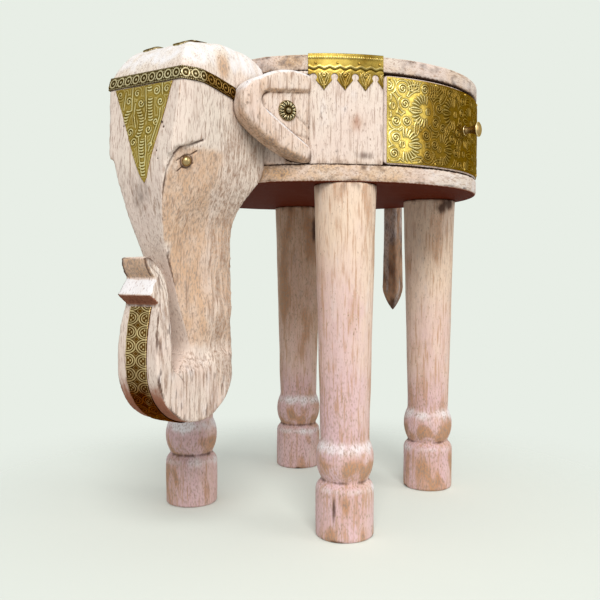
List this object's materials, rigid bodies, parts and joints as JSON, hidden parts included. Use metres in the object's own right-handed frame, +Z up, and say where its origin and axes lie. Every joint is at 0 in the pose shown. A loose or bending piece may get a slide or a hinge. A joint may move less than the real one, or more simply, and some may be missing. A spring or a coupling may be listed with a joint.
{
  "type": "elephant side table",
  "caption": "Low round drum table carved as an elephant, with a curled trunk, ears, tail, turned legs, brass trim and a curved drawer in its flank.",
  "frame": {"origin": "on the floor, at the middle of the footprint of the whole table", "axes": "+X from the trunk to the tail, +Y to the elephant's right flank, the drawer opens along -Y, +Z up"},
  "size_m": [0.499, 0.378, 0.4707],
  "materials": {
    "whitewashed_wood": "whitewashed and rubbed back",
    "leg_wood": "thin whitewash over pinkish wood, worn at the beads",
    "bare_wood": "unpainted reddish brown wood",
    "bright_brass": "embossed sheet, polished",
    "antique_brass": "embossed, darkened in the hollows",
    "steel_fixings": "plain"
  },
  "bodies": {
    "table": {"bottom_board": "whitewashed_wood", "brow_strap": "antique_brass", "crown_disc_left": "antique_brass", "crown_disc_right": "antique_brass", "drawer_stop": "bare_wood", "ear_rosette_left": "antique_brass", "ear_rosette_right": "antique_brass", "eye_left": "antique_brass", "eye_right": "antique_brass", "forehead_plate": "bright_brass", "head": "whitewashed_wood", "head_bolts": "steel_fixings", "left_ear": "whitewashed_wood", "leg_front_left": "leg_wood", "leg_front_right": "leg_wood", "leg_rear_left": "leg_wood", "leg_rear_right": "leg_wood", "leg_screws": "steel_fixings", "neck_block": "whitewashed_wood", "right_ear": "whitewashed_wood", "runner_front": "bare_wood", "runner_rear": "bare_wood", "tail": "whitewashed_wood", "tail_screws": "steel_fixings", "top_board": "whitewashed_wood", "trunk_strap": "antique_brass", "valance_left": "bright_brass", "valance_nails": "bright_brass", "valance_right": "bright_brass", "wall_dowels": "bare_wood", "wall_left_front": "whitewashed_wood", "wall_rear": "whitewashed_wood", "wall_right_front": "whitewashed_wood", "wall_right_side": "whitewashed_wood"},
    "drawer": {"drawer_back": "bare_wood", "drawer_bottom": "bare_wood", "drawer_front": "whitewashed_wood", "drawer_knob": "antique_brass", "drawer_plate": "bright_brass", "drawer_plate_nails": "bright_brass", "drawer_side_front": "bare_wood", "drawer_side_rear": "bare_wood", "knob_screw": "steel_fixings"}
  },
  "joints": [
    {"name": "drawer_slide", "type": "slide", "parent": "table", "child": "drawer", "axis": [0, -1, 0], "range_m": [0, 0.19]}
  ]
}
